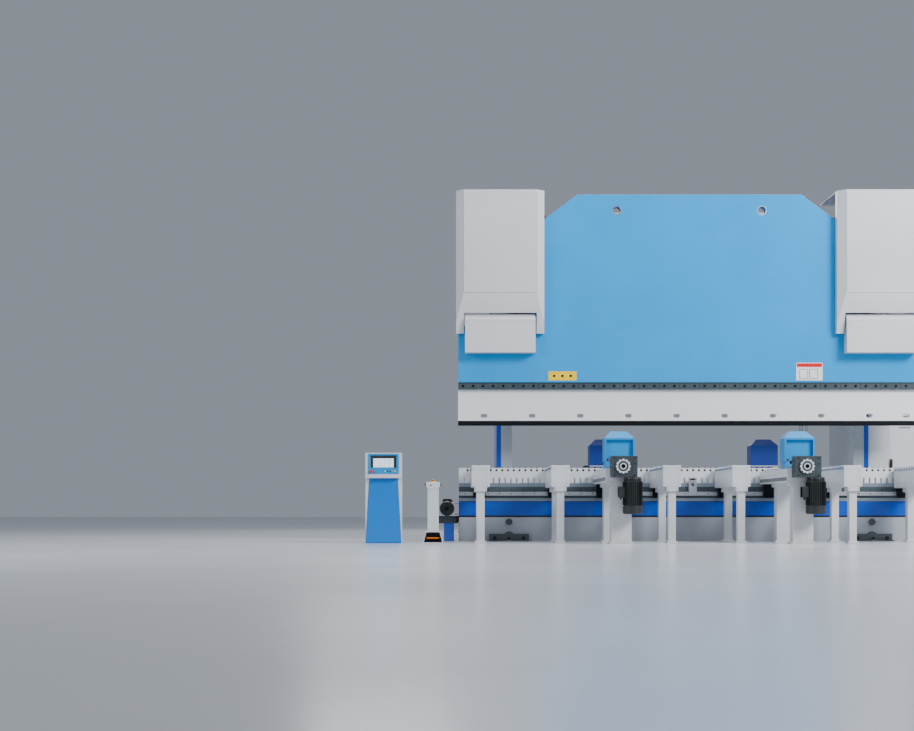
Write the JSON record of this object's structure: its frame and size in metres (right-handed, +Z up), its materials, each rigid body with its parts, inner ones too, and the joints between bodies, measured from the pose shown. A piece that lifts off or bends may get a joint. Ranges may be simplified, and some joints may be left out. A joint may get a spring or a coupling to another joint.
{
  "type": "press brake",
  "caption": "Hydraulic press brake with ram, adjustable die, front sheet supports, screw-driven feeders, back gauge, cabinet, operator pedestal and foot control.",
  "frame": {"origin": "on the floor under the middle of the bending line", "axes": "+X along the bending line to the operator's right, -Y towards the operator, +Z up"},
  "size_m": [7.3075, 3.8218, 4.532],
  "materials": {
    "blue_paint": "satin",
    "carriage_blue": "satin",
    "grey_paint": "satin",
    "cover_paint": "satin",
    "slate_steel": "satin",
    "machined_steel": "brushed",
    "polished_steel": "polished",
    "chromed_steel": "polished",
    "black_steel": "satin",
    "motor_black": "satin",
    "bronze": "machined",
    "screen_glass": "glossy",
    "black_plastic": "matte",
    "red_plastic": "glossy",
    "orange_plastic": "glossy"
  },
  "bodies": {
    "ram": {"ram_plate": "blue_paint", "tool_clamps": "slate_steel", "clamp_bolts": "black_steel", "punch": "polished_steel", "punch_nose": "black_steel", "ram_covers": "cover_paint", "pistons": "chromed_steel"},
    "front_die": {"die_front": "machined_steel"},
    "rear_die": {"die_rear": "machined_steel"},
    "wedge": {"crowning_wedge": "machined_steel"},
    "wedge_screw": {"crowning_screw": "machined_steel"},
    "door": {"cabinet_door": "cover_paint"},
    "door_handle": {"cabinet_handle": "black_plastic"},
    "pedestal_stop": {"pedestal_estop": "red_plastic"},
    "stand_stop": {"stand_estop": "red_plastic"},
    "left_palm": {"left_palm_button": "black_plastic"},
    "right_palm": {"right_palm_button": "black_plastic"},
    "pedal": {"foot_pedal": "orange_plastic"},
    "left_feeder": {"left_feed_carriage": "carriage_blue"},
    "left_gauge": {"left_gauge_carriage": "carriage_blue"},
    "left_feeder_screw": {"left_feed_screw": "machined_steel"},
    "left_gauge_screw_shaft": {"left_gauge_screw": "machined_steel"},
    "right_feeder": {"right_feed_carriage": "carriage_blue"},
    "right_gauge": {"right_gauge_carriage": "carriage_blue"},
    "right_feeder_screw": {"right_feed_screw": "machined_steel"},
    "right_gauge_screw_shaft": {"right_gauge_screw": "machined_steel"},
    "root": {"side_frames": "blue_paint", "frame_columns": "grey_paint", "top_cross_beam": "grey_paint", "bed_beam": "slate_steel", "bed_apron": "grey_paint", "bed_face_plate": "blue_paint", "die_table": "machined_steel", "cylinders": "slate_steel", "valve_blocks": "machined_steel", "oil_tank": "grey_paint", "pump_motor": "motor_black", "hydraulic_pipes": "machined_steel", "ram_guides": "bronze", "left_hood": "cover_paint", "right_hood": "cover_paint", "support_arms": "cover_paint", "ball_units": "polished_steel", "arm_rails": "machined_steel", "arm_slide_blocks": "black_steel", "centre_locator": "machined_steel", "feed_arms": "cover_paint", "gauge_arms": "cover_paint", "worm_gearboxes": "slate_steel", "drive_motors": "motor_black", "anchor_plates": "slate_steel", "end_motor_post": "blue_paint", "end_gearbox": "slate_steel", "end_motor": "motor_black", "electrical_cabinet": "cover_paint", "pedestal_body": "blue_paint", "pedestal_head": "cover_paint", "pedestal_screen": "screen_glass", "stand_column": "cover_paint", "pedal_housing": "slate_steel"}
  },
  "joints": [
    {"name": "ram_stroke", "type": "slide", "parent": "root", "child": "ram", "axis": [0, 0, -1], "range_m": [0, 0.6]},
    {"name": "front_die_opening", "type": "slide", "parent": "root", "child": "front_die", "axis": [0, -1, 0], "range_m": [-0.03, 0.03]},
    {"name": "rear_die_opening", "type": "slide", "parent": "root", "child": "rear_die", "axis": [0, 1, 0], "range_m": [-0.03, 0.03]},
    {"name": "wedge_shift", "type": "slide", "parent": "root", "child": "wedge", "axis": [1, 0, 0], "range_m": [-0.04, 0.04]},
    {"name": "wedge_screw_turn", "type": "hinge", "parent": "root", "child": "wedge_screw", "pos_m": [-2.97, 0, 0.6885], "axis": [1, 0, 0], "range_deg": [-2880, 2880]},
    {"name": "door_swing", "type": "hinge", "parent": "root", "child": "door", "pos_m": [3.167, 0.515, 1.05], "axis": [0, 0, 1], "range_deg": [0, 110]},
    {"name": "handle_turn", "type": "hinge", "parent": "door", "child": "door_handle", "pos_m": [2.805, 0.522, 1.046], "axis": [0, -1, 0], "range_deg": [0, 90]},
    {"name": "pedestal_stop_press", "type": "slide", "parent": "root", "child": "pedestal_stop", "axis": [0, 1, 0], "range_m": [0, 0.006], "stiffness_N_per_m": 800},
    {"name": "stand_stop_press", "type": "slide", "parent": "root", "child": "stand_stop", "axis": [0, 0, -1], "range_m": [0, 0.006], "stiffness_N_per_m": 800},
    {"name": "left_palm_press", "type": "slide", "parent": "root", "child": "left_palm", "axis": [1, 0, 0], "range_m": [0, 0.004], "stiffness_N_per_m": 600},
    {"name": "right_palm_press", "type": "slide", "parent": "root", "child": "right_palm", "axis": [-1, 0, 0], "range_m": [0, 0.004], "stiffness_N_per_m": 600},
    {"name": "pedal_press", "type": "hinge", "parent": "root", "child": "pedal", "pos_m": [-3.315, -1.096, 0.045], "axis": [1, 0, 0], "range_deg": [0, 8], "stiffness_Nm_per_rad": 40},
    {"name": "left_feed_travel", "type": "slide", "parent": "root", "child": "left_feeder", "axis": [0, 1, 0], "range_m": [-0.1, 0.95]},
    {"name": "left_gauge_travel", "type": "slide", "parent": "root", "child": "left_gauge", "axis": [0, 1, 0], "range_m": [-0.12, 0.95]},
    {"name": "left_feed_screw_turn", "type": "hinge", "parent": "root", "child": "left_feeder_screw", "pos_m": [-1.077, -1, 0.915], "axis": [0, 1, 0], "range_deg": [-36000, 36000]},
    {"name": "left_gauge_screw_turn", "type": "hinge", "parent": "root", "child": "left_gauge_screw_shaft", "pos_m": [-1.077, 1, 0.915], "axis": [0, 1, 0], "range_deg": [-36000, 36000]},
    {"name": "right_feed_travel", "type": "slide", "parent": "root", "child": "right_feeder", "axis": [0, 1, 0], "range_m": [-0.1, 0.95]},
    {"name": "right_gauge_travel", "type": "slide", "parent": "root", "child": "right_gauge", "axis": [0, 1, 0], "range_m": [-0.12, 0.95]},
    {"name": "right_feed_screw_turn", "type": "hinge", "parent": "root", "child": "right_feeder_screw", "pos_m": [1.077, -1, 0.915], "axis": [0, 1, 0], "range_deg": [-36000, 36000]},
    {"name": "right_gauge_screw_turn", "type": "hinge", "parent": "root", "child": "right_gauge_screw_shaft", "pos_m": [1.077, 1, 0.915], "axis": [0, 1, 0], "range_deg": [-36000, 36000]}
  ],
  "couplings": [
    {"joint": "rear_die_opening", "follows": "front_die_opening", "ratio": 1},
    {"joint": "wedge_screw_turn", "follows": "wedge_shift", "rad_per_m": 1256.6},
    {"joint": "left_feed_screw_turn", "follows": "left_feed_travel", "rad_per_m": 628.32},
    {"joint": "left_gauge_screw_turn", "follows": "left_gauge_travel", "rad_per_m": 628.32},
    {"joint": "right_feed_screw_turn", "follows": "right_feed_travel", "rad_per_m": 628.32},
    {"joint": "right_gauge_screw_turn", "follows": "left_gauge_travel", "rad_per_m": 628.32},
    {"joint": "right_gauge_travel", "follows": "left_gauge_travel", "ratio": 1}
  ]
}
